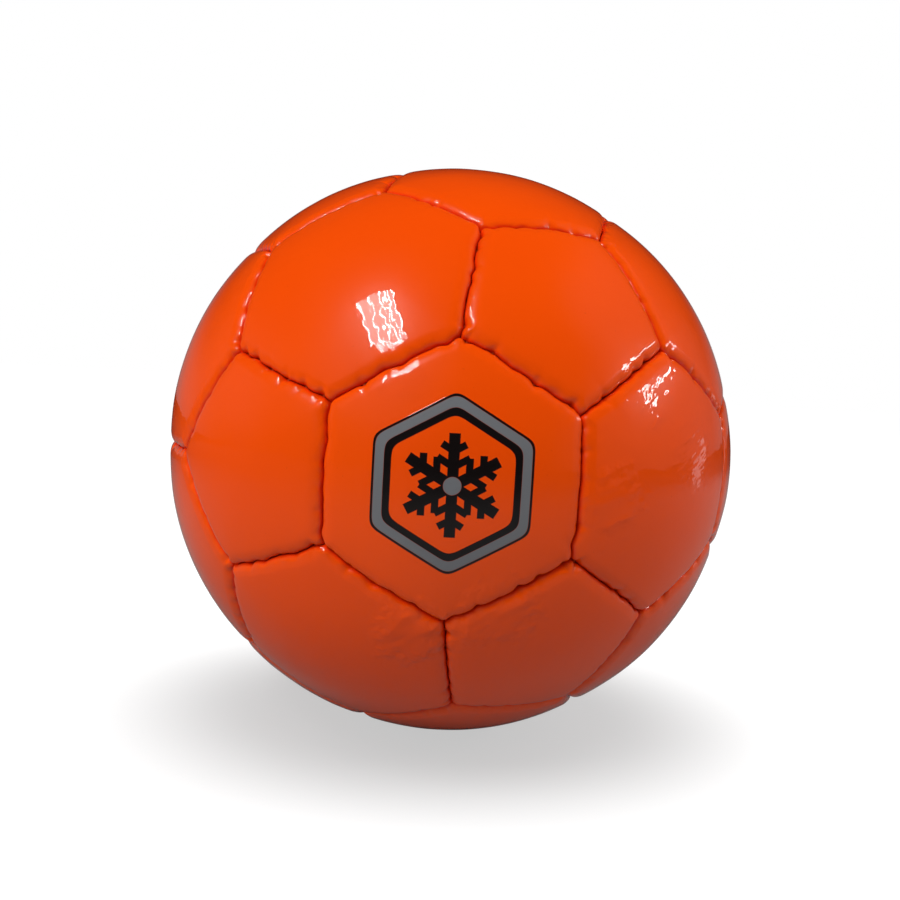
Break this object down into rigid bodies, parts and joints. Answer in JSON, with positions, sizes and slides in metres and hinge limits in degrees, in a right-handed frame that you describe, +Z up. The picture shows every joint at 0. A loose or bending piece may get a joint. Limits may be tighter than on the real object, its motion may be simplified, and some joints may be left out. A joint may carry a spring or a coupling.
{
  "type": "broomball ball",
  "caption": "Hand-stitched inflatable broomball ball: crowned hexagon and pentagon cover panels sewn round a rubber bladder with a needle valve.",
  "frame": {"origin": "centre of the ball", "axes": "-Y through the middle of the printed front hexagon, +Y through the valve in the middle of the rear hexagon, +Z up through the middle of the seam between two hexagons"},
  "size_m": [0.1522, 0.1521, 0.1516],
  "materials": {
    "cover": "glossy orange synthetic leather",
    "printed_cover": "glossy orange synthetic leather with a dark screen print",
    "thread": "waxed polyester thread",
    "bladder": "matt butyl rubber",
    "valve": "moulded rubber",
    "patch": "rubberised cotton"
  },
  "bodies": {
    "root": {"printed_panel": "printed_cover", "valve_panel": "cover", "hexagon_panel_01": "cover", "hexagon_panel_02": "cover", "hexagon_panel_03": "cover", "hexagon_panel_04": "cover", "hexagon_panel_05": "cover", "hexagon_panel_06": "cover", "hexagon_panel_07": "cover", "hexagon_panel_08": "cover", "hexagon_panel_09": "cover", "hexagon_panel_10": "cover", "hexagon_panel_11": "cover", "hexagon_panel_12": "cover", "hexagon_panel_13": "cover", "hexagon_panel_14": "cover", "hexagon_panel_15": "cover", "hexagon_panel_16": "cover", "hexagon_panel_17": "cover", "hexagon_panel_18": "cover", "pentagon_panel_01": "cover", "pentagon_panel_02": "cover", "pentagon_panel_03": "cover", "pentagon_panel_04": "cover", "pentagon_panel_05": "cover", "pentagon_panel_06": "cover", "pentagon_panel_07": "cover", "pentagon_panel_08": "cover", "pentagon_panel_09": "cover", "pentagon_panel_10": "cover", "pentagon_panel_11": "cover", "pentagon_panel_12": "cover", "seam_thread": "thread", "bladder": "bladder", "valve_patch": "patch", "valve_housing": "valve", "valve_core": "valve"}
  },
  "joints": []
}
